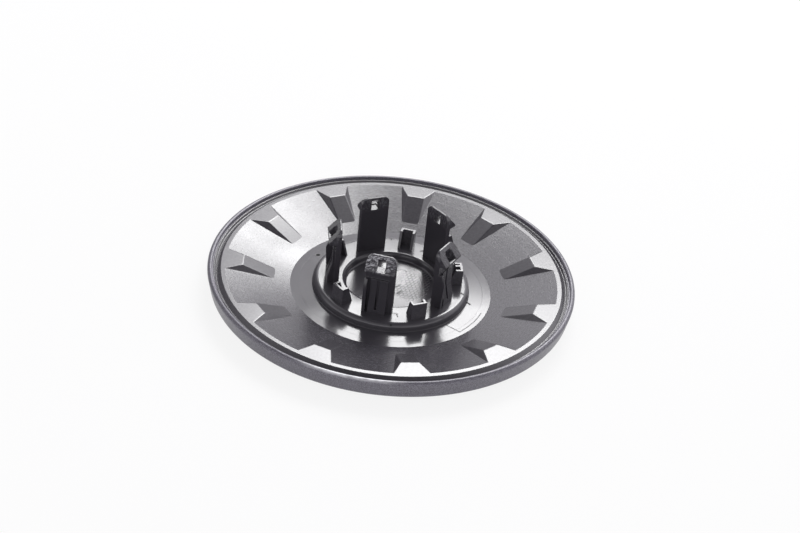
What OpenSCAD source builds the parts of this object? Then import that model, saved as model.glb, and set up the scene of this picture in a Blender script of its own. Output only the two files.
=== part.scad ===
// Centre cap of a car wheel, one injection moulded piece.
// It lies on its front face with the clip legs up. Z runs along the axle.
// Origin: on the axis, at the flat middle of the front face.

/* [Disc] */

// Outer diameter over the rim
cap_d = 161.8; // [150:0.1:176]
// Thickness of the moulded wall
wall_t = 2.5; // [2:0.1:3]
// Depth of the dish, from the ledge down to the flat ring
dish_h = 7.8; // [6:0.2:9]
// Diameter where the sloping band meets the flat ring
flat_d = 88.8; // [84:0.4:92]
// Thickness of the flat middle of the disc
floor_t = 2.6; // [2.2:0.1:3.4]
// Rise of the flat ring from its outer edge to the collar
flat_rise = 0.7; // [0.2:0.1:1]
// Diameter of the engraved locating line on the flat ring
line_d = 81; // [78:0.5:84]

/* [Rim] */

// Width from the crest in to the edge of the band
rim_w = 4.8; // [4.4:0.1:5.4]
// How far the rim stands out past the crest
bulge = 2.9; // [2.7:0.05:3.3]
// Radius of the round top of the rim, outside the crest
bead_r = 1.3; // [1.1:0.1:1.6]
// How far that round top stands above the crest
bead_rise = 1.2; // [0.9:0.1:1.4]
// Radius of the round foot of the rim
foot_r = 1.8; // [1.5:0.1:2.1]
// How far the foot lies in from the widest part
foot_in = 1.2; // [0.8:0.1:1.6]
// Height of the rim from the crest to its foot
rim_h = 7.4; // [6.6:0.1:7.9]
// Depth of the groove inside the crest
groove_h = 0.95; // [0.7:0.05:1.1]
// Width of the level ledge round the band
ledge_w = 1.5; // [1:0.1:1.8]
// Drop from the ledge to the crest of the rim
crest_drop = 0.4; // [0.1:0.1:0.8]
// Width of the thin raised line on the crest
crest_w = 0.4; // [0.3:0.05:0.6]
// Width of the fine valley outside that line
valley_w = 0.5; // [0.3:0.05:0.6]
// Depth of that valley below the crest
valley_h = 0.2; // [0.1:0.05:0.4]

/* [Tongues] */

// Number of raised tongues, each a pocket on the front
tongue_n = 11; // [7:1:12]
// Half width of a tongue at the ledge
tongue_half_out = 8.1; // [6.5:0.1:9]
// Half width of a tongue at its inner edge
tongue_half_in = 3.9; // [3.4:0.1:5]
// Length of the level top, measured in from the ledge
tongue_len = 7.9; // [6:0.1:10]
// Plain band left between the flat ring and the toe of a tongue
toe_gap = 6.9; // [5:0.1:9]
// Angle of the first tongue
tongue_a0 = -178; // [-180:1:180]

/* [Middle] */

// Diameter of the raised hub that carries the clips
hub_d = 69.2; // [67:0.2:72]
// Height of the hub above the foot of its wall
hub_h = 3.8; // [3:0.1:4.6]
// Rounding of the outer shoulder of the hub
hub_round = 2.4; // [1.2:0.1:2.8]
// Rounding of the rim of the well
well_round = 1.5; // [0.8:0.1:1.8]
// Diameter of the round well in the hub
well_d = 40.8; // [39:0.2:42]
// Depth of the well
well_h = 3.5; // [2.6:0.1:3.6]
// Inner diameter of the ring groove on the front
ring_in_d = 49; // [46:0.5:51]
// Outer diameter of the ring groove on the front
ring_out_d = 62; // [59:0.5:64]

/* [Clip legs] */

// Number of clip legs
leg_n = 5; // [3:1:5]
// Angle of the first clip leg
leg_a0 = 115.8; // [90:0.2:140]
// Width of the flat plate of a leg
leg_w = 13; // [11:0.2:14]
// Thickness of that plate
leg_t = 2.4; // [2:0.1:2.8]
// Distance of the plate from the axis
leg_r = 23.8; // [23.6:0.1:24.4]
// Height of a leg above the hub
leg_h = 27.5; // [26:0.5:30]
// Rounding of the two top corners of a leg
leg_round = 2.8; // [2:0.1:3.4]
// How far the back of a leg stands out from its plate
back_t = 2.6; // [2.2:0.1:3]
// Height of the upright foot of the back above the hub
upright_h = 2.6; // [2.2:0.2:5]
// How far the back leans out at the knee above its foot
lean_out = 0.7; // [0.2:0.1:1]
// Height of the knee above the hub
knee_z = 12; // [10.6:0.2:14]
// Height of the shoulder under the notch above the hub
shoulder_z = 16.6; // [15.4:0.2:18]
// How far the shoulder slopes in from the foot of the back
shoulder_in = 0.9; // [0.4:0.1:1.4]
// Width of the rib down the middle of the back
rib_w = 7.8; // [6.8:0.1:8.4]
// How far that rib stands out from the plate at its top
rib_t = 0.8; // [0.7:0.1:1.2]
// Height above the hub at which the rib has sloped in from its foot
slope_h = 9.9; // [7:0.1:10.2]
// Thickness of the wing left along one side
wing_t = 1.5; // [1:0.1:1.7]
// Width of the fine groove down the middle of the rib
flute_w = 0.9; // [0.6:0.1:1.2]
// Depth of that groove at the top of the rib
flute_h = 0.5; // [0.3:0.1:0.6]
// Height of the lower end of that groove above the hub
flute_z = 2; // [1:0.5:8]
// How far the barb stands out past the foot of the back
barb_out = 0.5; // [0.3:0.1:0.9]
// Height of the catching edge of the barb above the hub
barb_z = 20.9; // [19.6:0.1:22]
// Height of the upright tip of the barb
tip_h = 0.9; // [0.6:0.1:1.2]
// Thickness of a leg at its very top
top_t = 0.8; // [0.6:0.1:1.4]
// Width of the recess in the ramp of the head
recess_w = 5.3; // [4.8:0.1:5.8]
// Height of that recess
recess_h = 4; // [3:0.1:4.2]
// Width of the window through the head
window_w = 3.8; // [3:0.1:4.2]
// Height of the window
window_h = 4.8; // [3.6:0.1:5]

/* [Guide posts] */

// Angle of the guide posts behind the leg before them
post_turn = 36; // [32:0.5:40]
// Distance of the outer wall of a post from the axis
post_r = 31; // [30:0.1:31.4]
// Width of a post
post_w = 6.8; // [6:0.1:7.4]
// Height of a post above the hub
post_h = 7.5; // [6:0.1:9]
// Wall thickness of a post
post_t = 1.2; // [1:0.1:1.5]
// Length of the arms of a post at the top
post_arm = 3.3; // [2.6:0.1:4]
// Length of the arms of a post at the foot
post_foot = 6.2; // [4.6:0.1:6.6]
// Place of the middle wall in the one post that has it
key_y = 0.8; // [0:0.1:1]

/* [Hidden] */

$fn = 96;

black = [0.17, 0.165, 0.175];
e = 0.01;
// how deep the cuts between legs and posts run into the solid hub
sunk = 0.5;

// radii and heights that follow from the sizes above
cap_r = cap_d / 2;
crest_r = cap_r - bulge;
flat_r = flat_d / 2;
ledge_r = crest_r - rim_w;
flat_z = floor_t;
ledge_z = flat_z + dish_h;
crest_z = ledge_z - crest_drop;
slope_a = atan2(dish_h, ledge_r - flat_r);
groove_z = crest_z - groove_h;
bead_x = cap_r - bead_r;
bead_z = crest_z + bead_rise - bead_r;
foot_x = cap_r - foot_in - foot_r;
foot_z = crest_z - rim_h + foot_r;
// directions in which the straight sides of the rim face
rim_run = sqrt(pow(bead_x - foot_x, 2) + pow(bead_z - foot_z, 2));
rim_up = atan2(bead_z - foot_z, bead_x - foot_x);
rim_open = acos((foot_r - bead_r) / rim_run);
face_out = rim_up - rim_open;
face_in = rim_up + rim_open;
collar_z = flat_z + flat_rise;
hub_r = hub_d / 2;
hub_z = collar_z + hub_h;
well_r = well_d / 2;
well_z = hub_z - well_h;
ring_in = ring_in_d / 2;
ring_out = ring_out_d / 2;
ring_z = hub_z - wall_t;
// front surface of the cone, one wall below the back of the band
cone_x = flat_r + wall_t * sin(slope_a);
cone_z = flat_z - wall_t * cos(slope_a);
cone_out_z = cone_z + (ledge_r - cone_x) * tan(slope_a);
// front surface below the groove
under_z = groove_z - 0.8 * wall_t;

tip_x = ledge_r - tongue_len;
toe_x = flat_r + toe_gap;
slope_len = tip_x - toe_x;
toe_z = flat_z + (toe_x - flat_r) * tan(slope_a);
toe_a = atan2(ledge_z - toe_z, slope_len);
side_a = atan2(tongue_half_out - tongue_half_in, tongue_len);
// the side faces run down to the toe of the tongue
side_drop = ledge_z - toe_z;
side_out = slope_len * sin(side_a);
side_tilt = atan2(side_out, side_drop);

leg_top = hub_z + leg_h;
plate_out = leg_r + leg_t;
// circle that the backs of the legs fill
clip_r = plate_out + back_t;
knee_top = hub_z + knee_z;
shoulder_top = hub_z + shoulder_z;
rib_r = plate_out + rib_t;
barb_edge = hub_z + barb_z;
barb_r = clip_r + barb_out;
tip_top = barb_edge + tip_h;

// ---- small helpers -------------------------------------------------

// square from one corner to the other in the section plane
module box2(x0, z0, x1, z1) {
  translate([x0, z0])
    square([x1 - x0, z1 - z0]);
}

// solid box given by its two corners
module box3(a, b) {
  translate(a)
    cube([b[0] - a[0], b[1] - a[1], b[2] - a[2]]);
}

// concave corner of radius r that faces +X and +Z, at the point (x, z)
module cove(x, z, r, sx) {
  translate([x, z])
    mirror([sx < 0 ? 1 : 0, 0])
      difference() {
        translate([-e * 20, -e * 20])
          square(r + e * 20);
        translate([r, r])
          circle(r = r);
      }
}

// copies turned about the axis
module ring_of(n, a0) {
  for (k = [0 : n - 1])
    rotate([0, 0, a0 + k * 360 / n])
      children();
}

// ---- turned body ---------------------------------------------------

// section of the plain wall from the axis into the rim
module wall_section() {
  polygon([
    [0, 0],
    [flat_r + wall_t * sin(slope_a) - cone_z / tan(slope_a), 0],
    [ledge_r, cone_out_z],
    [ledge_r + 0.6, cone_out_z],
    [crest_r - rim_w / 2, under_z],
    [bead_x, under_z],
    [bead_x, ledge_z],
    [ledge_r, ledge_z],
    [flat_r, flat_z],
    [hub_r - 1, collar_z],
    [0, collar_z]
  ]);
}

// point of a circle in the section plane, in direction a
function on_circle(x, z, r, a) = [x + r * cos(a), z + r * sin(a)];

// section of the rolled rim, two round edges joined by straight sides
module rim_section() {
  translate([bead_x, bead_z])
    circle(r = bead_r);
  translate([foot_x, foot_z])
    circle(r = foot_r);
  polygon([
    on_circle(bead_x, bead_z, bead_r, face_out),
    on_circle(foot_x, foot_z, foot_r, face_out),
    on_circle(foot_x, foot_z, foot_r, face_in),
    on_circle(bead_x, bead_z, bead_r, face_in)
  ]);
}

// what is cut from above: the groove, and the valley outside the crest
module groove_section() {
  line = crest_r + crest_w / 2;
  polygon([
    [ledge_r + ledge_w, ledge_z + 3],
    [ledge_r + ledge_w, ledge_z],
    [crest_r - 1.1, groove_z],
    [crest_r - 0.8, groove_z],
    [crest_r - crest_w / 2, crest_z],
    [line, crest_z],
    [line + 0.1, crest_z - valley_h],
    [line + 0.1 + valley_w, crest_z - valley_h],
    [line + 0.2 + valley_w, ledge_z],
    [line + 0.2 + valley_w, ledge_z + 3]
  ]);
}

// section of the hub ring, with round shoulders
module hub_section() {
  ri = well_round;
  ro = hub_round;
  box2(well_r + ri, collar_z - 1, hub_r - ro, hub_z);
  box2(well_r, collar_z - 1, hub_r - ro, hub_z - ri);
  box2(well_r + ri, collar_z - 1, hub_r, hub_z - ro);
  translate([well_r + ri, hub_z - ri])
    circle(r = ri);
  translate([hub_r - ro, hub_z - ro])
    circle(r = ro);
  cove(hub_r, collar_z, 0.3, 1);
  cove(well_r, well_z, 0.8, -1);
  box2(0, 0, well_r + 0.1, well_z);
}

module turned_body() {
  rotate_extrude(convexity = 6)
    difference() {
      union() {
        wall_section();
        rim_section();
        hub_section();
      }
      groove_section();
      // ring groove on the front, with round inner corners
      box2(ring_in, -1, ring_out, ring_z - 1);
      box2(ring_in + 1, ring_z - 2, ring_out - 1, ring_z);
      translate([ring_in + 1, ring_z - 1])
        circle(r = 1);
      translate([ring_out - 1, ring_z - 1])
        circle(r = 1);
      // inside of the well
      box2(-1, well_z, well_r - 0.8, hub_z + 1);
    }
}

// ---- tongues -------------------------------------------------------

// wedge of half space left of one side face, shifted in by s
module side_keep(s) {
  translate([tip_x, tongue_half_in, ledge_z])
    rotate([side_tilt, 0, side_a])
      translate([-70, -70 - s, -60])
        cube([140, 70, 90]);
}

// body bounded by a level top, a front slope and two side faces
module tongue_body(s, low) {
  top = ledge_z - s;
  shift = s / sin(toe_a) - s / tan(toe_a);
  toe_low = (top - low) / tan(toe_a);
  intersection() {
    translate([0, 30, 0])
      rotate([90, 0, 0])
        linear_extrude(height = 60)
          polygon([
            [tip_x + shift - toe_low, low],
            [tip_x + shift, top],
            [ledge_r + 1, top],
            [ledge_r + 1, low]
          ]);
    side_keep(s);
    mirror([0, 1, 0])
      side_keep(s);
  }
}

// raised tongue, cut off below by the front surface of the cone
module tongue() {
  intersection() {
    tongue_body(0, flat_z - 1);
    rotate([0, 0, -30])
      rotate_extrude(angle = 60)
        polygon([
          [toe_x - 4, cone_z + (toe_x - 4 - cone_x) * tan(slope_a) + 0.6],
          [ledge_r + 0.4, cone_z + (ledge_r + 0.4 - cone_x) * tan(slope_a) + 0.6],
          [ledge_r + 0.4, ledge_z],
          [toe_x - 4, ledge_z]
        ]);
  }
}

// pocket on the front, one wall thickness inside the tongue
module pocket() {
  tongue_body(wall_t, -1);
}

// ---- clip leg ------------------------------------------------------

// front view of a leg, with two round top corners
module leg_outline() {
  h = leg_w / 2;
  r = leg_round;
  translate([leg_r - 1, 0, 0])
    rotate([90, 0, 90])
      linear_extrude(height = barb_r + 2 - leg_r)
        union() {
          box2(-h, hub_z - 2, h, leg_top - r);
          box2(-h + r, leg_top - r - 1, h - r, leg_top + 1);
          translate([-h + r, leg_top - r])
            circle(r = r);
          translate([h - r, leg_top - r])
            circle(r = r);
        }
}

// side view of a leg: foot, knee, shoulder, notch, barb and lead-in ramp
module leg_side() {
  translate([0, leg_w / 2 + 1, 0])
    rotate([90, 0, 0])
      linear_extrude(height = leg_w + 2)
        polygon([
          [leg_r, hub_z - 1],
          [clip_r, hub_z - 1],
          [clip_r, hub_z + upright_h],
          [clip_r + lean_out, knee_top],
          [clip_r - shoulder_in, shoulder_top],
          [plate_out, shoulder_top],
          [plate_out, barb_edge - 0.4],
          [barb_r, barb_edge],
          [barb_r, tip_top],
          [leg_r + top_t, leg_top],
          [leg_r, leg_top]
        ]);
}

// what is cut from the back so that the rib slopes in above its foot
module rib_slope() {
  translate([0, rib_w / 2 + 0.2, 0])
    rotate([90, 0, 0])
      linear_extrude(height = rib_w + 0.4)
        polygon([
          [clip_r, hub_z + upright_h],
          [barb_r + 1, hub_z + upright_h],
          [barb_r + 1, shoulder_top + 0.5],
          [rib_r, shoulder_top + 0.5],
          [rib_r, hub_z + slope_h]
        ]);
}

module clip_leg() {
  h = leg_w / 2;
  difference() {
    intersection() {
      leg_side();
      leg_outline();
    }
    // the back is cut away beside the rib, but for a wing along one side
    box3(
      [plate_out, -h + wing_t, hub_z - sunk],
      [barb_r + 1, -rib_w / 2, shoulder_top + 0.5]
    );
    box3(
      [plate_out, rib_w / 2, hub_z - sunk],
      [barb_r + 1, h + 1, shoulder_top + 0.5]
    );
    rib_slope();
    // fine groove down the middle of the rib
    box3(
      [rib_r - flute_h, -flute_w, hub_z + flute_z],
      [barb_r + 1, 0, shoulder_top + 0.5]
    );
    // recess in the ramp, with a window in it through the head
    box3(
      [plate_out, -recess_w / 2, tip_top],
      [barb_r + 1, recess_w / 2, tip_top + recess_h]
    );
    box3(
      [leg_r - 1, -window_w / 2, barb_edge + 0.4],
      [barb_r - 1.2, window_w / 2, barb_edge + 0.4 + window_h]
    );
  }
}

// ---- guide post ----------------------------------------------------

// side view of a post, as wide as w, with its inner edge sloping
module post_side(w) {
  translate([0, w / 2, 0])
    rotate([90, 0, 0])
      linear_extrude(height = w)
        polygon([
          [post_r - post_foot, hub_z - 1],
          [post_r, hub_z - 1],
          [post_r, hub_z + post_h],
          [post_r - post_arm, hub_z + post_h]
        ]);
}

// U shaped post, open towards the axis
module guide_post() {
  h = post_w / 2;
  difference() {
    post_side(post_w);
    box3(
      [post_r - post_foot - 1, -h + post_t, hub_z - sunk],
      [post_r - post_t, h - post_t, hub_z + post_h + 1]
    );
  }
}

// middle wall of the one post that differs
module key_wall() {
  translate([0, key_y, 0])
    post_side(post_t);
}

// ---- whole cap -----------------------------------------------------

module centre_cap() {
  color(black)
    difference() {
      union() {
        turned_body();
        ring_of(tongue_n, tongue_a0)
          tongue();
        ring_of(leg_n, leg_a0)
          clip_leg();
        ring_of(leg_n, leg_a0 - post_turn)
          guide_post();
        rotate([0, 0, leg_a0 - post_turn - 360 / leg_n])
          key_wall();
      }
      ring_of(tongue_n, tongue_a0)
        pocket();
      // fine locating line round the flat ring
      rotate_extrude()
        box2(line_d / 2, flat_z + 0.15, line_d / 2 + 0.4, flat_z + 3);
    }
}

centre_cap();
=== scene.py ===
"""The back of a car wheel's centre cap, as it lies face down on a table."""

import math

import bmesh
import bpy
from mathutils import Matrix, Vector


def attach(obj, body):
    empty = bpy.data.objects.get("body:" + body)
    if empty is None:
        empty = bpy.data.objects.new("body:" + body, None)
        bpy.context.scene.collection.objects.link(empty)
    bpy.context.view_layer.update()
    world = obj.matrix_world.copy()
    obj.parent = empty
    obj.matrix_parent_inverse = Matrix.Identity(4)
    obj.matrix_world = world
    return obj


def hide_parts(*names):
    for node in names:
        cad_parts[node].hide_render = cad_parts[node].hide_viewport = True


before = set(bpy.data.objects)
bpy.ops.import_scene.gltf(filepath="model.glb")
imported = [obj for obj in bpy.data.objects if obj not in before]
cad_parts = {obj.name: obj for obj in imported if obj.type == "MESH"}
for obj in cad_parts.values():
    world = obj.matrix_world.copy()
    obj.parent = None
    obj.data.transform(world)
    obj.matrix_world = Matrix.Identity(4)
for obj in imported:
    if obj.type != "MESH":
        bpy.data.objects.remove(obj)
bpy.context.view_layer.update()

# ---- Disc, rim and hub -------------------------------------------------
# The round body of the cap, injection moulded in black ABS in a mould that was
# turned on a lathe, so every edge and groove runs true round the axle. Its front
# and the outer wall of its rim are sprayed with grey lacquer.

MM = 0.001  # one millimetre in metres; the sizes below are in millimetres
LEDGE_R, LEDGE_Z = 73.2, 10.4  # inner edge of the flat ledge inside the rim
FLAT_R, FLAT_Z = 44.4, 2.6  # outer edge of the nearly flat ring
COLLAR_R, COLLAR_Z = 33.6, 3.3  # where that ring would meet the hub's collar
HUB_Z, WELL_Z = 7.1, 3.6  # top of the hub, and the middle of the well's floor
STEPS_ROUND = 360  # steps of the turned shape in one round


def arc(x, z, radius, start, end, steps):
    """Points of an arc in the section plane, in degrees from start to end."""
    angles = [math.radians(start + (end - start) * i / steps) for i in range(steps + 1)]
    return [(x + radius * math.cos(a), z + radius * math.sin(a)) for a in angles]


def flat_ring_z(radius):
    """Height of the flat ring, which rises a little towards the hub."""
    return FLAT_Z + (COLLAR_Z - FLAT_Z) * (FLAT_R - radius) / (FLAT_R - COLLAR_R)


# the finish and the outline of each stretch, from the middle of the back outwards
section = [
    # the well's dished floor, its raised edge, the hub's top and the collar
    ("well", [(r, WELL_Z + 0.0008 * r * r) for r in (0, 4, 8, 12, 16, 19.6)]),
    ("gloss", arc(19.6, 4.71, 0.8, -88, 0, 8)),
    ("gloss", arc(21.9, 5.6, 1.5, 180, 90, 12)),
    ("gloss", [(24, HUB_Z), (27, HUB_Z), (30, HUB_Z)]),
    ("gloss", arc(32.2, 4.7, 2.4, 90, 0, 14)),
    ("gloss", arc(34.9, flat_ring_z(34.9) + 0.3, 0.3, 180, 265, 5)),
    # the flat ring with its fine line, and the turned band
    ("gloss", [(40.5, flat_ring_z(40.5)), (40.54, 2.83), (40.86, 2.81)]),
    ("gloss", [(40.9, flat_ring_z(40.9))]),
    ("turned", [(FLAT_R, FLAT_Z)]),
    # the ledge, the groove and the thin lip on whose crest the lacquer begins
    ("satin", arc(LEDGE_R, LEDGE_Z - 0.3, 0.3, 105.2, 90, 3)),
    ("satin", [(74.8, LEDGE_Z)] + arc(74.95, LEDGE_Z - 0.3, 0.3, 90, 55, 4)),
    ("satin", [(76.75, 9.2)] + arc(77.05, 9.35, 0.3, 245, 320, 5)),
    ("satin", [(77.78, 9.95)] + arc(78.0, 9.9, 0.14, 150, 90, 4)),
    ("paint", arc(78.0, 9.9, 0.14, 90, 10, 4)[1:]),
    ("paint", [(78.28, 9.84), (78.72, 9.86)]),
    # the rolled bead and the bulged outer wall
    ("paint", arc(79.6, 9.9, 1.295, 124, -12.2, 26)),
    ("paint", arc(77.9, 4.4, 1.8, -12.2, -202, 26)),
    # the front, from inside the rim to the middle: cone, foot, ring groove, flat middle
    ("paint", [(77.04, 7.05), (75.6, 7.05), (73.8, 7.81), (73.2, 7.81)]),
    ("paint", [(44.36, 0), (38, 0)]),
    ("paint", arc(31.4, 0.4, 0.4, 270, 180, 5)),
    ("paint", arc(30, 3.6, 1, 0, 90, 6)),
    ("paint", arc(25.5, 3.6, 1, 90, 180, 6)),
    ("paint", arc(24.1, 0.4, 0.4, 0, -90, 5)),
    ("paint", [(12, 0), (0, 0)]),
]
ZONES = ["gloss", "turned", "satin", "well", "paint"]
SHARP_RINGS = (FLAT_R, 78.28, 78.72, 40.5, 40.54, 40.86, 40.9, 44.36, 77.04)


def turned_mesh(name, section, around):
    """A closed mesh of the section turned about the axle."""
    mesh = bpy.data.meshes.new(name)
    points, zones = [], []
    for zone, run in section:
        for p in run:
            if not points or math.dist(p, points[-1]) > 0.005:
                points.append(p)
                zones.append(ZONES.index(zone))
    bm = bmesh.new()
    rings = []
    for r, z in points:
        if r < 1e-6:
            rings.append([bm.verts.new((0, 0, z * MM))])
            continue
        ring = []
        for k in range(around):
            a = 2 * math.pi * k / around
            ring.append(bm.verts.new((r * MM * math.cos(a), r * MM * math.sin(a), z * MM)))
        rings.append(ring)
    for i in range(len(rings) - 1):
        low, high = rings[i], rings[i + 1]
        for k in range(around):
            n = (k + 1) % around
            if len(low) == 1:
                corners = (low[0], high[k], high[n])
            elif len(high) == 1:
                corners = (low[k], high[0], low[n])
            else:
                corners = (low[k], high[k], high[n], low[n])
            bm.faces.new(corners).material_index = zones[i]
    bmesh.ops.recalc_face_normals(bm, faces=bm.faces[:])
    bm.to_mesh(mesh)
    bm.free()
    return mesh


def new_object(name, data):
    """An object with that mesh, lamp or camera, linked to the scene."""
    obj = bpy.data.objects.new(name, data)
    bpy.context.collection.objects.link(obj)
    return obj


def add_node(tree, kind, settings=None, links=None):
    """A node with its settings, fed by sockets, or by the first output of other nodes."""
    node = tree.nodes.new(kind)
    for key, value in (settings or {}).items():
        if isinstance(key, str) and key[0].islower():
            setattr(node, key, value)
        else:
            node.inputs[key].default_value = value
    for key, source in (links or {}).items():
        socket = source.outputs[0] if isinstance(source, bpy.types.Node) else source
        tree.links.new(socket, node.inputs[key])
    return node


def blank_material(name):
    """A new material, and its node tree, which is still empty."""
    material = bpy.data.materials.new(name)
    material.use_nodes = True
    material.node_tree.nodes.clear()
    return material, material.node_tree


def linear(hex_colour):
    """An sRGB hex colour as linear red, green, blue and alpha."""
    parts = [int(hex_colour[i:i + 2], 16) / 255 for i in (1, 3, 5)]
    return [c / 12.92 if c <= 0.04045 else ((c + 0.055) / 1.055) ** 2.4 for c in parts] + [1]


def stroke_mask(tree, place, strokes):
    """One on fine strokes seen from above: from x, y to x, y with the half width, in mm."""
    flat = add_node(
        tree, "ShaderNodeVectorMath", {"operation": "MULTIPLY", 1: (1, 1, 0)}, {0: place})
    found = None
    for x0, y0, x1, y1, half in strokes:
        start, run = Vector((x0, y0, 0)) * MM, Vector((x1 - x0, y1 - y0, 0)) * MM
        share = run / max(run.length_squared, 1e-12)
        offset = add_node(
            tree, "ShaderNodeVectorMath", {"operation": "SUBTRACT", 1: start}, {0: flat})
        along = add_node(
            tree, "ShaderNodeVectorMath", {"operation": "DOT_PRODUCT", 1: share}, {0: offset})
        part = add_node(tree, "ShaderNodeClamp", {}, {"Value": along.outputs["Value"]})
        nearest = add_node(
            tree, "ShaderNodeVectorMath", {"operation": "SCALE", 0: run}, {"Scale": part})
        gap = add_node(
            tree, "ShaderNodeVectorMath", {"operation": "DISTANCE"}, {0: offset, 1: nearest})
        inside = add_node(
            tree, "ShaderNodeMapRange", {"From Min": half * 1.4 * MM, "From Max": half * 0.6 * MM},
            {"Value": gap.outputs["Value"]})
        if found:
            inside = add_node(
                tree, "ShaderNodeMath", {"operation": "MAXIMUM"}, {0: found, 1: inside})
        found = inside
    return found.outputs[0]


def strokes_round(radius, first, last, step, half):
    """Strokes end to end on a circle round the axle, for stroke_mask."""
    angles = [math.radians(a) for a in range(first, last, step)]
    ends = [(radius * math.cos(a), radius * math.sin(a)) for a in angles]
    return [(*ends[i], *ends[i + 1], half) for i in range(len(ends) - 1)]


ABS_IOR = 1.53
ABS_BLACK = "#434146"  # black ABS in bright light, as the photograph shows it
DARK_MARK_TONE = "#0f0f10"  # the near black in which the fine marks and the well's grain are drawn

# moulded ABS, polished mould: a glossy black with a very slight orange peel
abs_gloss, t = blank_material("black_abs_polished")
place = add_node(t, "ShaderNodeTexCoord").outputs["Object"]
peel = add_node(t, "ShaderNodeTexNoise", {"Scale": 420, "Detail": 3}, {"Vector": place})
haze = add_node(t, "ShaderNodeTexNoise", {"Scale": 90, "Detail": 4}, {"Vector": place})
rough = add_node(
    t, "ShaderNodeMapRange",
    {"From Min": 0.3, "From Max": 0.7, "To Min": 0.13, "To Max": 0.2}, {"Value": haze})
bump = add_node(t, "ShaderNodeBump", {"Strength": 0.12, "Distance": 0.00006}, {"Height": peel})
# marks of use: a scored arc and the pin mark, then nicks and fine hairlines
mark = stroke_mask(t, place, strokes_round(42.5, -41, -13, 6, 0.13) + [
    (-34, 18.8, -34, 18.8, 1.1), (-38.9, 13.1, -36.2, 12.6, 0.12),
    (-3.3, 35.7, -3, 35, 0.4), (-2.4, 33.3, -1.8, 31.3, 0.25),
    (23.8, -24, 31.9, -28.4, 0.16), (30.4, -5, 32.2, -6.2, 0.36),
    (33.9, -6.2, 35.4, -7.5, 0.4), (2.1, -25.9, 4.5, -26.2, 0.18),
    (3.9, -26.3, 4.5, -28.4, 0.2), (11.9, 24.5, 13.1, 25.3, 0.36),
    (1.9, -33.9, 2.2, -33.9, 0.35),
])
tone = add_node(t, "ShaderNodeMixRGB", {1: linear(ABS_BLACK), 2: linear(DARK_MARK_TONE)}, {0: mark})
rough = add_node(t, "ShaderNodeMix", {"data_type": "FLOAT", 3: 0.9}, {0: mark, 2: rough})
bsdf = add_node(
    t, "ShaderNodeBsdfPrincipled", {"IOR": ABS_IOR, "Specular IOR Level": 0.7},
    {"Base Color": tone, "Roughness": rough, "Normal": bump})
add_node(t, "ShaderNodeOutputMaterial", {}, {"Surface": bsdf})

# the same ABS on the band, where the mould was left as turned: fine rings
abs_turned, t = blank_material("black_abs_turned")
place = add_node(t, "ShaderNodeTexCoord").outputs["Object"]
flat = add_node(t, "ShaderNodeVectorMath", {"operation": "MULTIPLY", 1: (1, 1, 0)}, {0: place})
radius = add_node(
    t, "ShaderNodeVectorMath", {"operation": "LENGTH"}, {0: flat}).outputs["Value"]
# tool marks about 0.35 mm apart, uneven as a real tool leaves them
marks = add_node(
    t, "ShaderNodeTexNoise",
    {"noise_dimensions": "1D", "Scale": 2800, "Detail": 2, "Roughness": 0.6}, {"W": radius})
grain = add_node(t, "ShaderNodeTexNoise", {"Scale": 2200, "Detail": 1}, {"Vector": place})
height = add_node(
    t, "ShaderNodeMath", {"operation": "MULTIPLY_ADD", 1: 0.6}, {0: grain, 2: marks})
bump = add_node(t, "ShaderNodeBump", {"Strength": 0.45, "Distance": 0.00004}, {"Height": height})
haze = add_node(t, "ShaderNodeTexNoise", {"Scale": 60, "Detail": 4}, {"Vector": place})
rough = add_node(
    t, "ShaderNodeMapRange",
    {"From Min": 0.3, "From Max": 0.7, "To Min": 0.2, "To Max": 0.28}, {"Value": haze})
# painted sheen: a tone that varies in streaks round the axle, 0.6 mm wide and 2 mm long, for the
# uneven sheen of the turned tool marks; drawn coarse so that they show
split = add_node(t, "ShaderNodeSeparateXYZ", {}, {"Vector": place})
angle = add_node(
    t, "ShaderNodeMath", {"operation": "ARCTAN2"},
    {0: split.outputs["Y"], 1: split.outputs["X"]})
along = add_node(t, "ShaderNodeMath", {"operation": "MULTIPLY", 1: 0.02}, {0: angle})
unrolled = add_node(t, "ShaderNodeCombineXYZ", {}, {"X": radius, "Y": along})
streak = add_node(
    t, "ShaderNodeTexNoise", {"Scale": 1600, "Detail": 3, "Roughness": 0.7},
    {"Vector": unrolled})
streak = add_node(
    t, "ShaderNodeMapRange", {"From Min": 0.35, "From Max": 0.65}, {"Value": streak})
# the painted sheen of the streaks, darker and lighter than the ABS
tone = add_node(
    t, "ShaderNodeMixRGB", {1: linear("#353338"), 2: linear("#514f55")}, {0: streak})
tangent = add_node(t, "ShaderNodeTangent", {"direction_type": "RADIAL", "axis": "Z"})
bsdf = add_node(
    t, "ShaderNodeBsdfPrincipled",
    {"IOR": ABS_IOR, "Specular IOR Level": 1.0, "Anisotropic": 0.6},
    {"Base Color": tone, "Roughness": rough, "Normal": bump, "Tangent": tangent})
add_node(t, "ShaderNodeOutputMaterial", {}, {"Surface": bsdf})

# the same ABS with a satin skin, on the ledge, the groove, the tongues and posts
abs_satin, t = blank_material("black_abs_satin")
place = add_node(t, "ShaderNodeTexCoord").outputs["Object"]
grain = add_node(t, "ShaderNodeTexNoise", {"Scale": 900, "Detail": 3}, {"Vector": place})
bump = add_node(t, "ShaderNodeBump", {"Strength": 0.15, "Distance": 0.00004}, {"Height": grain})
skin = add_node(
    t, "ShaderNodeMapRange", {"From Min": 0.35, "From Max": 0.65}, {"Value": grain})
tone = add_node(
    t, "ShaderNodeMixRGB", {1: linear("#3f3d42"), 2: linear("#47454a")}, {0: skin})
bsdf = add_node(
    t, "ShaderNodeBsdfPrincipled",
    {"IOR": ABS_IOR, "Specular IOR Level": 1.0, "Roughness": 0.24},
    {"Base Color": tone, "Normal": bump})
add_node(t, "ShaderNodeOutputMaterial", {}, {"Surface": bsdf})

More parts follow.
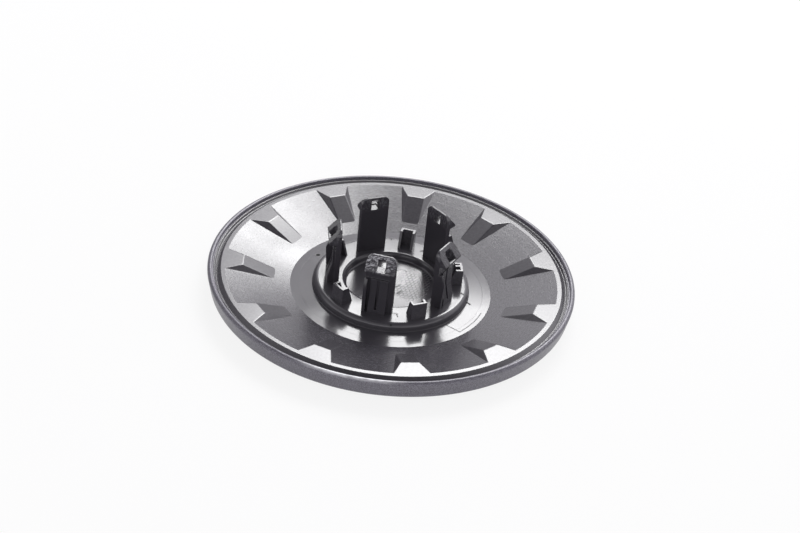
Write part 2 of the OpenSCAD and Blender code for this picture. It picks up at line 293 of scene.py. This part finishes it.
# the floor of the well, with a fine brick-like grain from the mould's core
abs_well, t = blank_material("black_abs_cross_grain")
place = add_node(t, "ShaderNodeTexCoord").outputs["Object"]
in_mm = add_node(
    t, "ShaderNodeMapping",
    {"Rotation": (0, 0, math.radians(-55)), "Scale": (1000, 1000, 1000)}, {"Vector": place})
grid = add_node(
    t, "ShaderNodeTexBrick",
    {"Scale": 1, "Mortar Size": 0.2, "Mortar Smooth": 0.2, "Brick Width": 2.2, "Row Height": 1.4},
    {"Vector": in_mm})
# it shows only on one patch of the floor, and is half worn away there
patch = stroke_mask(t, place, [(8.5, -3, 10, 7, 6)])
fade = add_node(t, "ShaderNodeTexNoise", {"Scale": 250, "Detail": 2}, {"Vector": place})
fade = add_node(t, "ShaderNodeMapRange", {"From Min": 0.3, "From Max": 0.5}, {"Value": fade})
grid = add_node(
    t, "ShaderNodeMath", {"operation": "MULTIPLY"}, {0: grid.outputs["Fac"], 1: patch})
grid = add_node(t, "ShaderNodeMath", {"operation": "MULTIPLY"}, {0: grid, 1: fade})
mark = stroke_mask(t, place, [
    (9.7, 13.7, 9.8, 13.7, 0.5), (1.9, 11.8, 3.8, 13.4, 0.2), (3.8, 13.4, 6.6, 11.9, 0.18),
    (2.4, -0.8, 4.5, 1.5, 0.26), (3.2, -6.2, 5.2, -3.4, 0.26)])
mark = add_node(t, "ShaderNodeMath", {"operation": "MAXIMUM"}, {0: grid, 1: mark})
tone = add_node(t, "ShaderNodeMixRGB", {1: linear(ABS_BLACK), 2: linear(DARK_MARK_TONE)}, {0: mark})
rough = add_node(t, "ShaderNodeMix", {"data_type": "FLOAT", 2: 0.2, 3: 0.9}, {0: mark})
bsdf = add_node(
    t, "ShaderNodeBsdfPrincipled", {"IOR": ABS_IOR, "Specular IOR Level": 0.85},
    {"Base Color": tone, "Roughness": rough})
add_node(t, "ShaderNodeOutputMaterial", {}, {"Surface": bsdf})

# grey metallic lacquer, sprayed on the front and over the rim up to the crest
grey_paint, t = blank_material("grey_metallic_lacquer")
place = add_node(t, "ShaderNodeTexCoord").outputs["Object"]
flake = add_node(t, "ShaderNodeTexNoise", {"Scale": 3000, "Detail": 1}, {"Vector": place})
flake = add_node(t, "ShaderNodeMapRange", {"From Min": 0.35, "From Max": 0.65}, {"Value": flake})
tone = add_node(
    t, "ShaderNodeMixRGB", {1: linear("#4d4b53"), 2: linear("#7f7d85")}, {0: flake})
# a painted highlight along the crest of the rim at the near side, where the softbox is reflected:
# pale, patchy and thin at its ends
scuff_and_highlight = stroke_mask(t, place, strokes_round(80, -118, -75, 6, 0.7))
height = add_node(t, "ShaderNodeSeparateXYZ", {}, {0: place}).outputs["Z"]
crest = add_node(
    t, "ShaderNodeMapRange", {"From Min": 0.0101, "From Max": 0.0106}, {"Value": height})
scuff_and_highlight = add_node(t, "ShaderNodeMath", {"operation": "MULTIPLY"}, {0: crest, 1: scuff_and_highlight})
patchy = add_node(t, "ShaderNodeTexNoise", {"Scale": 260, "Detail": 3}, {"Vector": place})
patchy = add_node(
    t, "ShaderNodeMapRange", {"From Min": 0.3, "From Max": 0.6, "To Min": 0.55},
    {"Value": patchy})
scuff_and_highlight = add_node(t, "ShaderNodeMath", {"operation": "MULTIPLY"}, {0: patchy, 1: scuff_and_highlight})
ends = add_node(
    t, "ShaderNodeVectorMath", {"operation": "DISTANCE", 1: (-0.013, -0.079, 0.0105)},
    {0: place})
ends = add_node(
    t, "ShaderNodeMapRange",
    {"interpolation_type": "SMOOTHSTEP",
     "From Min": 0.008, "From Max": 0.028, "To Min": 1, "To Max": 0},
    {"Value": ends.outputs["Value"]})
scuff_and_highlight = add_node(t, "ShaderNodeMath", {"operation": "MULTIPLY"}, {0: ends, 1: scuff_and_highlight})
# the painted highlight lightens the lacquer nearly to white
tone = add_node(t, "ShaderNodeMixRGB", {2: linear("#dcdcdf")}, {0: scuff_and_highlight, 1: tone})
bsdf = add_node(
    t, "ShaderNodeBsdfPrincipled", {"Metallic": 0.15, "Roughness": 0.34, "IOR": 1.5},
    {"Base Color": tone})
add_node(t, "ShaderNodeOutputMaterial", {}, {"Surface": bsdf})

body = new_object("cap_turned_body", turned_mesh("cap_turned_body", section, STEPS_ROUND))
for material in (abs_gloss, abs_turned, abs_satin, abs_well, grey_paint):
    body.data.materials.append(material)


# ---- Tongues -----------------------------------------------------------
# Eleven raised tongues round the band, moulded with the disc. On the front each
# of them is a pocket one wall deep, so the moulding keeps an even thickness.

TONGUES, TONGUE_TURN = 11, -178.0
WALL = 2.5
TIP_X, HALF_IN = LEDGE_R - 7.9, 3.9  # inner end of a tongue's top, and its half width
HALF_OUT = 8.1  # half width of the top at the ledge
TOE_X = FLAT_R + 6.9  # where the sloped toe meets the band
SLOPE = (LEDGE_Z - FLAT_Z) / (LEDGE_R - FLAT_R)
TOE_Z = FLAT_Z + (TOE_X - FLAT_R) * SLOPE
TOE_A = math.atan2(LEDGE_Z - TOE_Z, TIP_X - TOE_X)
SIDE_A = math.atan2(HALF_OUT - HALF_IN, 7.9)
SIDE_TILT = math.atan2((TIP_X - TOE_X) * math.sin(SIDE_A), LEDGE_Z - TOE_Z)


def wedge_mesh(name, inset, top, rear_x, rear_z, front_z, edge):
    """A tongue's body, with its faces moved in by inset and its top edges rounded."""
    start = TIP_X + inset / math.sin(TOE_A) - inset / math.tan(TOE_A)

    def corner(x, z, side):
        out = (LEDGE_Z - z) * math.tan(SIDE_TILT) - inset / math.cos(SIDE_TILT)
        half = HALF_IN + (x - TIP_X) * math.tan(SIDE_A) + out / math.cos(SIDE_A)
        return (x * MM, side * half * MM, z * MM)

    front_x = start - (top - front_z) / math.tan(TOE_A)
    bm = bmesh.new()
    ends = [(start, top), (rear_x, top), (rear_x, rear_z), (front_x, front_z)]
    left = [bm.verts.new(corner(x, z, -1)) for x, z in ends]
    right = [bm.verts.new(corner(x, z, 1)) for x, z in ends]
    bm.faces.new(left)
    bm.faces.new(right[::-1])
    for i in range(4):
        n = (i + 1) % 4
        bm.faces.new((left[n], left[i], right[i], right[n]))
    bmesh.ops.recalc_face_normals(bm, faces=bm.faces[:])
    round_off = [(left[0], right[0]), (left[0], left[1]), (right[0], right[1])]
    round_off += [(left[3], left[0]), (right[3], right[0])]
    edges = [bm.edges.get(pair) for pair in round_off]
    bmesh.ops.bevel(
        bm, geom=edges, offset=edge * MM, segments=4, profile=0.5, affect="EDGES")
    mesh = bpy.data.meshes.new(name)
    bm.to_mesh(mesh)
    bm.free()
    return mesh


# copies of one shape, evenly round the axle
ring_tree = bpy.data.node_groups.new("copies_round_the_axle", "GeometryNodeTree")
for name, direction, kind in (
    ("Shape", "INPUT", "NodeSocketGeometry"),
    ("Count", "INPUT", "NodeSocketInt"),
    ("First Angle", "INPUT", "NodeSocketFloat"),
    ("Finish", "INPUT", "NodeSocketMaterial"),
    ("Shape", "OUTPUT", "NodeSocketGeometry"),
):
    ring_tree.interface.new_socket(name, in_out=direction, socket_type=kind)
given = add_node(ring_tree, "NodeGroupInput").outputs
index = add_node(ring_tree, "GeometryNodeInputIndex")
step = add_node(
    ring_tree, "ShaderNodeMath", {"operation": "DIVIDE", 0: 2 * math.pi}, {1: given["Count"]})
turn = add_node(
    ring_tree, "ShaderNodeMath", {"operation": "MULTIPLY_ADD"},
    {0: index, 1: step, 2: given["First Angle"]})
spin = add_node(ring_tree, "ShaderNodeCombineXYZ", {}, {"Z": turn})
points = add_node(ring_tree, "GeometryNodePoints", {}, {"Count": given["Count"]})
copies = add_node(
    ring_tree, "GeometryNodeInstanceOnPoints", {},
    {"Points": points, "Instance": given["Shape"], "Rotation": spin})
whole = add_node(ring_tree, "GeometryNodeRealizeInstances", {}, {0: copies})
finished = add_node(
    ring_tree, "GeometryNodeSetMaterial", {}, {"Geometry": whole, "Material": given["Finish"]})
add_node(ring_tree, "NodeGroupOutput", {}, {0: finished})


def bake(obj):
    """The object with its modifiers worked into a plain mesh."""
    bpy.context.view_layer.update()
    shown = obj.evaluated_get(bpy.context.evaluated_depsgraph_get())
    mesh = bpy.data.meshes.new_from_object(shown)
    obj.modifiers.clear()
    obj.data = mesh
    return obj


def ring_of(name, mesh, count, first, finish):
    """The shape repeated round the axle as one plain mesh."""
    obj = new_object(name, mesh)
    mod = obj.modifiers.new("ring", "NODES")
    mod.node_group = ring_tree
    given = {"Count": count, "First Angle": math.radians(first), "Finish": finish}
    for socket in ring_tree.interface.items_tree:
        if socket.in_out == "INPUT" and socket.name in given:
            mod[socket.identifier] = given[socket.name]
    return bake(obj)


def cut_or_join(obj, other, operation):
    """One boolean step, worked in at once; the other object goes."""
    mod = obj.modifiers.new("step", "BOOLEAN")
    mod.operation = operation
    mod.solver = "EXACT"
    mod.material_mode = "TRANSFER"
    mod.object = other
    bake(obj)
    bpy.data.objects.remove(other)
    return obj


rear_x = LEDGE_R + 0.4
tongue = wedge_mesh("tongue", 0, LEDGE_Z - 0.004, rear_x, LEDGE_Z - 1.2, TOE_Z - 1.3, 0.35)
tongues = ring_of("tongues", tongue, TONGUES, TONGUE_TURN, abs_satin)
pocket = wedge_mesh("pocket", WALL, LEDGE_Z - WALL, rear_x, -1, -1, 0.5)
pockets = ring_of("pockets", pocket, TONGUES, TONGUE_TURN, grey_paint)
cut_or_join(body, tongues, "UNION")
cut_or_join(body, pockets, "DIFFERENCE")


def shade(obj, angle, rings=()):
    """Smooth faces, with sharp edges past the angle, on the rings and between finishes."""
    mesh = obj.data
    mesh.shade_smooth()
    mesh.set_sharp_from_angle(angle=math.radians(angle))
    radii = [Vector(v.co[:2]).length / MM for v in mesh.vertices]
    finish = {}
    for face in mesh.polygons:
        for key in face.edge_keys:
            finish.setdefault(key, set()).add(face.material_index)
    for edge in mesh.edges:
        a, b = edge.vertices
        if any(abs(radii[a] - r) < 0.012 and abs(radii[b] - r) < 0.012 for r in rings):
            edge.use_edge_sharp = True
        if edge.key in finish and len(finish[edge.key]) > 1:
            edge.use_edge_sharp = True
    mod = obj.modifiers.new("flat faces lead", "WEIGHTED_NORMAL")
    mod.keep_sharp = True
    mod.weight = 80
    return bake(obj)


shade(body, 30, SHARP_RINGS)
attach(body, "root")
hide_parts("centre_cap")


# ---- Clip legs ---------------------------------------------------------
# Five springy legs of the same ABS, moulded on the hub, with a barb that snaps
# behind the edge of the wheel's bore. Each has a flat plate, a ribbed back and a
# side wing.

# satin black ABS, pale on the heads: partly scuffs from being pushed into a wheel, partly painted
# highlights for the glints on the heads
abs_scuffed_and_highlit, t = blank_material("black_abs_scuffed")
place = add_node(t, "ShaderNodeTexCoord").outputs["Object"]
streak = add_node(
    t, "ShaderNodeMapping", {"Rotation": (0.3, 0.2, 0.9), "Scale": (1, 3.5, 1)},
    {"Vector": place})
scuff_and_highlight = add_node(
    t, "ShaderNodeTexNoise", {"Scale": 600, "Detail": 4, "Roughness": 0.75},
    {"Vector": streak})
scuff_and_highlight = add_node(t, "ShaderNodeMapRange", {"From Min": 0.47, "From Max": 0.6}, {"Value": scuff_and_highlight})
height = add_node(t, "ShaderNodeSeparateXYZ", {}, {0: place}).outputs["Z"]
head = add_node(
    t, "ShaderNodeMapRange", {"From Min": 0.0275, "From Max": 0.031}, {"Value": height})
# the pale marks are strongest on the leg at the near side, with the most scuffing and the most
# painted glint
near_wear_and_glint = add_node(
    t, "ShaderNodeVectorMath", {"operation": "DISTANCE", 1: (-0.0065, -0.026, 0.031)},
    {0: place})
near_wear_and_glint = add_node(
    t, "ShaderNodeMapRange",
    {"From Min": 0.004, "From Max": 0.009, "To Min": 1, "To Max": 0.12},
    {"Value": near_wear_and_glint.outputs["Value"]})
scuff_and_highlight = add_node(t, "ShaderNodeMath", {"operation": "MULTIPLY"}, {0: scuff_and_highlight, 1: head})
scuff_and_highlight = add_node(t, "ShaderNodeMath", {"operation": "MULTIPLY"}, {0: scuff_and_highlight, 1: near_wear_and_glint})
# pale where scuffed and where the glints of the heads are painted in
tone = add_node(
    t, "ShaderNodeMixRGB", {1: linear("#38363b"), 2: linear("#c4c4c8")}, {0: scuff_and_highlight})
bump = add_node(t, "ShaderNodeBump", {"Strength": 0.2, "Distance": 0.00005}, {"Height": scuff_and_highlight})
bsdf = add_node(
    t, "ShaderNodeBsdfPrincipled",
    {"IOR": ABS_IOR, "Specular IOR Level": 0.7, "Roughness": 0.24},
    {"Base Color": tone, "Normal": bump})
add_node(t, "ShaderNodeOutputMaterial", {}, {"Surface": bsdf})

LEGS, LEG_TURN = 5, 115.8
LEG_TOP, HALF_LEG = 34.6, 6.5
PLATE_IN, PLATE_OUT = 23.8, 26.2
FOOT_OUT, RIB_OUT = 28.8, 27.0  # outer face of the back's foot, and of its middle rib
UPRIGHT_Z = HUB_Z + 2.6  # the back leans outwards above this
SLOT_Z = HUB_Z - 0.5, HUB_Z + 17.1
BARB_Z, TIP_Z, BARB_R = 28.0, 28.9, 29.3
CLEAR_R = 33  # beyond every part of a leg
CORNER_R = 2.8


def plate_mesh(name, outline, axis, low, high, edge=0):
    """A flat outline made thick along an axis, with its edges rounded."""
    bm = bmesh.new()
    if axis == "Y":
        corners, shift = [(a * MM, low * MM, b * MM) for a, b in outline], (0, 1, 0)
    else:
        corners, shift = [(low * MM, a * MM, b * MM) for a, b in outline], (1, 0, 0)
    face = bm.faces.new([bm.verts.new(corner) for corner in corners])
    raised = bmesh.ops.extrude_face_region(bm, geom=[face])["geom"]
    moved = [g for g in raised if isinstance(g, bmesh.types.BMVert)]
    span = (high - low) * MM
    bmesh.ops.translate(bm, vec=Vector(shift) * span, verts=moved)
    bmesh.ops.recalc_face_normals(bm, faces=bm.faces[:])
    if edge:
        sharp = [e for e in bm.edges if e.calc_face_angle(0) > math.radians(25)]
        bmesh.ops.bevel(
            bm, geom=sharp, offset=edge * MM, segments=3, profile=0.5, affect="EDGES")
    mesh = bpy.data.meshes.new(name)
    bm.to_mesh(mesh)
    bm.free()
    return mesh


def plate(name, outline, axis, low, high):
    """An object for a boolean step: a flat outline made thick along an axis."""
    return new_object(name, plate_mesh(name, outline, axis, low, high))


def round_edges(obj, width):
    """The small radius that moulded edges have, on every edge sharper than 32 degrees."""
    mod = obj.modifiers.new("moulded edges", "BEVEL")
    mod.limit_method = "ANGLE"
    mod.angle_limit = math.radians(32)
    mod.width = width * MM
    mod.segments = 3
    return bake(obj)


side_view = [
    (PLATE_IN, HUB_Z - 1), (FOOT_OUT, HUB_Z - 1), (FOOT_OUT, UPRIGHT_Z),
    (29.5, HUB_Z + 12), (27.9, HUB_Z + 16.6), (PLATE_OUT, HUB_Z + 16.6),
    (PLATE_OUT, BARB_Z - 0.4), (BARB_R, BARB_Z), (BARB_R, TIP_Z),
    (24.6, LEG_TOP), (PLATE_IN, LEG_TOP),
]
front_view = [(-HALF_LEG, HUB_Z - 2)]
front_view += arc(-HALF_LEG + CORNER_R, LEG_TOP - CORNER_R, CORNER_R, 180, 90, 8)
front_view += arc(HALF_LEG - CORNER_R, LEG_TOP - CORNER_R, CORNER_R, 90, 0, 8)
front_view += [(HALF_LEG, HUB_Z - 2)]
leg = plate("leg_side", side_view, "Y", -HALF_LEG - 1, HALF_LEG + 1)
cut_or_join(leg, plate("leg_front", front_view, "X", 22, 32), "INTERSECT")
rib_slope = [
    (FOOT_OUT, UPRIGHT_Z), (CLEAR_R, UPRIGHT_Z), (CLEAR_R, SLOT_Z[1]),
    (RIB_OUT, SLOT_Z[1]), (RIB_OUT, HUB_Z + 9.9),
]
cut_or_join(leg, plate("rib_slope", rib_slope, "Y", -4.1, 4.1), "DIFFERENCE")
for name, y0, y1, x0, x1, z0, z1 in (
    ("slot_by_wing", -5.0, -3.9, PLATE_OUT, CLEAR_R, *SLOT_Z),
    ("slot_open", 3.9, 8, PLATE_OUT, CLEAR_R, *SLOT_Z),
    ("flute", -0.9, 0, RIB_OUT - 0.5, CLEAR_R, HUB_Z + 2, SLOT_Z[1]),
    ("recess", -2.65, 2.65, PLATE_OUT, CLEAR_R, TIP_Z, TIP_Z + 4),
    ("window", -1.9, 1.9, 22, BARB_R - 1.2, BARB_Z + 0.4, BARB_Z + 5.2),
):
    outline = [(y0, z0), (y1, z0), (y1, z1), (y0, z1)]
    cut_or_join(leg, plate(name, outline, "X", x0, x1), "DIFFERENCE")
round_edges(leg, 0.22)
legs = ring_of("clip_legs", leg.data, LEGS, LEG_TURN, abs_scuffed_and_highlit)
bpy.data.objects.remove(leg)
shade(legs, 35)
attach(legs, "root")
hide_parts("centre_cap")


# ---- Guide posts -------------------------------------------------------
# Five short U shaped posts of satin black ABS between the legs, moulded on the
# hub with them. They guide the cap into the bore before the legs catch.

POST_TURN = LEG_TURN - 36  # half way between two legs
POST_TOP = HUB_Z + 7.5
post_view = [(24.8, HUB_Z - 1), (31, HUB_Z - 1), (31, POST_TOP), (27.7, POST_TOP)]
post = plate("post", post_view, "Y", -3.4, 3.4)
hollow = [(23.8, HUB_Z - 0.5), (29.8, HUB_Z - 0.5), (29.8, HUB_Z + 9), (23.8, HUB_Z + 9)]
cut_or_join(post, plate("hollow", hollow, "Y", -2.2, 2.2), "DIFFERENCE")
round_edges(post, 0.18)
posts = ring_of("guide_posts", post.data, LEGS, POST_TURN, abs_satin)
bpy.data.objects.remove(post)
# the middle wall that only the post at the right has
key = plate_mesh("key_wall", post_view, "Y", 0.2, 1.4, 0.15)
key = ring_of("key_wall", key, 1, POST_TURN - 72, abs_satin)
cut_or_join(posts, key, "UNION")
shade(posts, 35)
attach(posts, "root")
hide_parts("centre_cap")


# ---- Table, light and camera -------------------------------------------
# A plain white table, a softbox beyond the cap on its far side, and soft light
# from the walls round it. The camera looks down from the photograph's place.

floor = new_object("table", bpy.data.meshes.new("table"))
floor.data.from_pydata([(-3, -3, 0), (3, -3, 0), (3, 3, 0), (-3, 3, 0)], [], [(0, 1, 2, 3)])
# a matt white table top: to the camera most of its tone is an even glow, which
# gives a white background, and the rest keeps the shadow
table_white, t = blank_material("white_table")
bsdf = add_node(
    t, "ShaderNodeBsdfPrincipled", {"Base Color": (0.86, 0.86, 0.86, 1), "Roughness": 0.9})
glow = add_node(t, "ShaderNodeEmission", {"Strength": 1})
ray = add_node(t, "ShaderNodeLightPath").outputs
seen = add_node(
    t, "ShaderNodeMath", {"operation": "MAXIMUM"},
    {0: ray["Is Camera Ray"], 1: ray["Is Glossy Ray"]})
seen = add_node(
    t, "ShaderNodeMath", {"operation": "MAXIMUM"}, {0: seen, 1: ray["Is Transmission Ray"]})
share = add_node(t, "ShaderNodeMath", {"operation": "MULTIPLY", 1: 0.86}, {0: seen})
lit = add_node(t, "ShaderNodeMixShader", {}, {0: share, 1: bsdf, 2: glow})
add_node(t, "ShaderNodeOutputMaterial", {}, {"Surface": lit})
floor.data.materials.append(table_white)

# the softbox: beyond the cap and a little to the right, half way up to the zenith
azimuth, elevation, distance = math.radians(78.5), math.radians(45), 1.5
softbox = bpy.data.lights.new("softbox", "AREA")
softbox.shape = "RECTANGLE"
softbox.size, softbox.size_y = 0.77, 0.58
softbox.energy = 13.2
lamp = new_object("softbox", softbox)
toward = Vector((
    math.cos(elevation) * math.cos(azimuth), math.cos(elevation) * math.sin(azimuth),
    math.sin(elevation)))
lamp.location = toward * distance
lamp.rotation_euler = toward.to_track_quat("Z", "Y").to_euler()

world = bpy.data.worlds.new("studio")
bpy.context.scene.world = world
world.use_nodes = True
t = world.node_tree
t.nodes.clear()
toward_sky = add_node(t, "ShaderNodeTexCoord").outputs["Generated"]
split = add_node(t, "ShaderNodeSeparateXYZ", {}, {0: toward_sky}).outputs
# towards the far side the light rises from a dark foot of the wall
far = add_node(
    t, "ShaderNodeMapRange",
    {"interpolation_type": "SMOOTHSTEP",
     "From Min": 0.0, "From Max": 0.5, "To Min": 0.25, "To Max": 1.6},
    {"Value": split["Z"]})
# on the near side it falls upwards from the level of the windows
near = add_node(
    t, "ShaderNodeMapRange",
    {"interpolation_type": "SMOOTHSTEP",
     "From Min": 0.3, "From Max": 0.65, "To Min": 1.25, "To Max": 0.4},
    {"Value": split["Z"]})
farness = add_node(
    t, "ShaderNodeMapRange",
    {"interpolation_type": "SMOOTHSTEP", "From Min": -0.1, "From Max": 0.5},
    {"Value": split["Y"]})
walls = add_node(t, "ShaderNodeMix", {"data_type": "FLOAT"}, {0: farness, 2: near, 3: far})
# the ceiling over the table is dark
ceiling = add_node(
    t, "ShaderNodeMapRange",
    {"interpolation_type": "SMOOTHSTEP",
     "From Min": 0.79, "From Max": 0.94, "To Min": 1.0, "To Max": 0.14},
    {"Value": split["Z"]})
room = add_node(t, "ShaderNodeMath", {"operation": "MULTIPLY"}, {0: walls, 1: ceiling})
# beyond the left end of the far wall it is dark as well
left = add_node(
    t, "ShaderNodeMapRange",
    {"interpolation_type": "SMOOTHSTEP",
     "From Min": -0.44, "From Max": -0.29, "To Min": 0.22, "To Max": 1.0},
    {"Value": split["X"]})
left = add_node(t, "ShaderNodeMix", {"data_type": "FLOAT", 2: 1.0}, {0: farness, 3: left})
room = add_node(t, "ShaderNodeMath", {"operation": "MULTIPLY"}, {0: room, 1: left})
# the camera itself sees plain white beyond the table
ray = add_node(t, "ShaderNodeLightPath").outputs
strength = add_node(
    t, "ShaderNodeMix", {"data_type": "FLOAT", 3: 1.0}, {0: ray["Is Camera Ray"], 2: room})
tint = add_node(
    t, "ShaderNodeMixRGB", {1: (0.97, 0.955, 1, 1), 2: (1, 1, 1, 1)},
    {0: ray["Is Camera Ray"]})
sky = add_node(t, "ShaderNodeBackground", {}, {"Color": tint, "Strength": strength})
add_node(t, "ShaderNodeOutputWorld", {}, {"Surface": sky})

# the camera as fitted to the photograph: 33.8 degrees up and rolled a little; its
# place is in radii of the rim's crest, from a point beside the middle of the cap
CREST_R, RANGE, ASIDE = 0.078, 11.041, Vector((0.041, 0.078, 0))
FOCAL_PIXELS, PHOTO_WIDTH, SENSOR = 1946.631, 800, 36
tilt, roll = math.radians(33.799), math.radians(6.148)
back_dir = Vector((0, -math.cos(tilt), math.sin(tilt)))
right_dir = Vector((1, 0, 0))
up_dir = Vector((0, math.sin(tilt), math.cos(tilt)))
right_rolled = math.cos(roll) * right_dir + math.sin(roll) * up_dir
up_rolled = -math.sin(roll) * right_dir + math.cos(roll) * up_dir
camera = bpy.data.cameras.new("camera")
camera.sensor_width = SENSOR
camera.lens = FOCAL_PIXELS / PHOTO_WIDTH * SENSOR
camera.clip_start, camera.clip_end = 0.05, 20
view = new_object("camera", camera)
place = (ASIDE + back_dir * RANGE) * CREST_R + Vector((0, 0, 0.010))
turn_by = Matrix((right_rolled, up_rolled, back_dir)).transposed().to_4x4()
view.matrix_world = Matrix.Translation(place) @ turn_by
bpy.context.scene.camera = view
bpy.context.scene.view_settings.view_transform = "Standard"
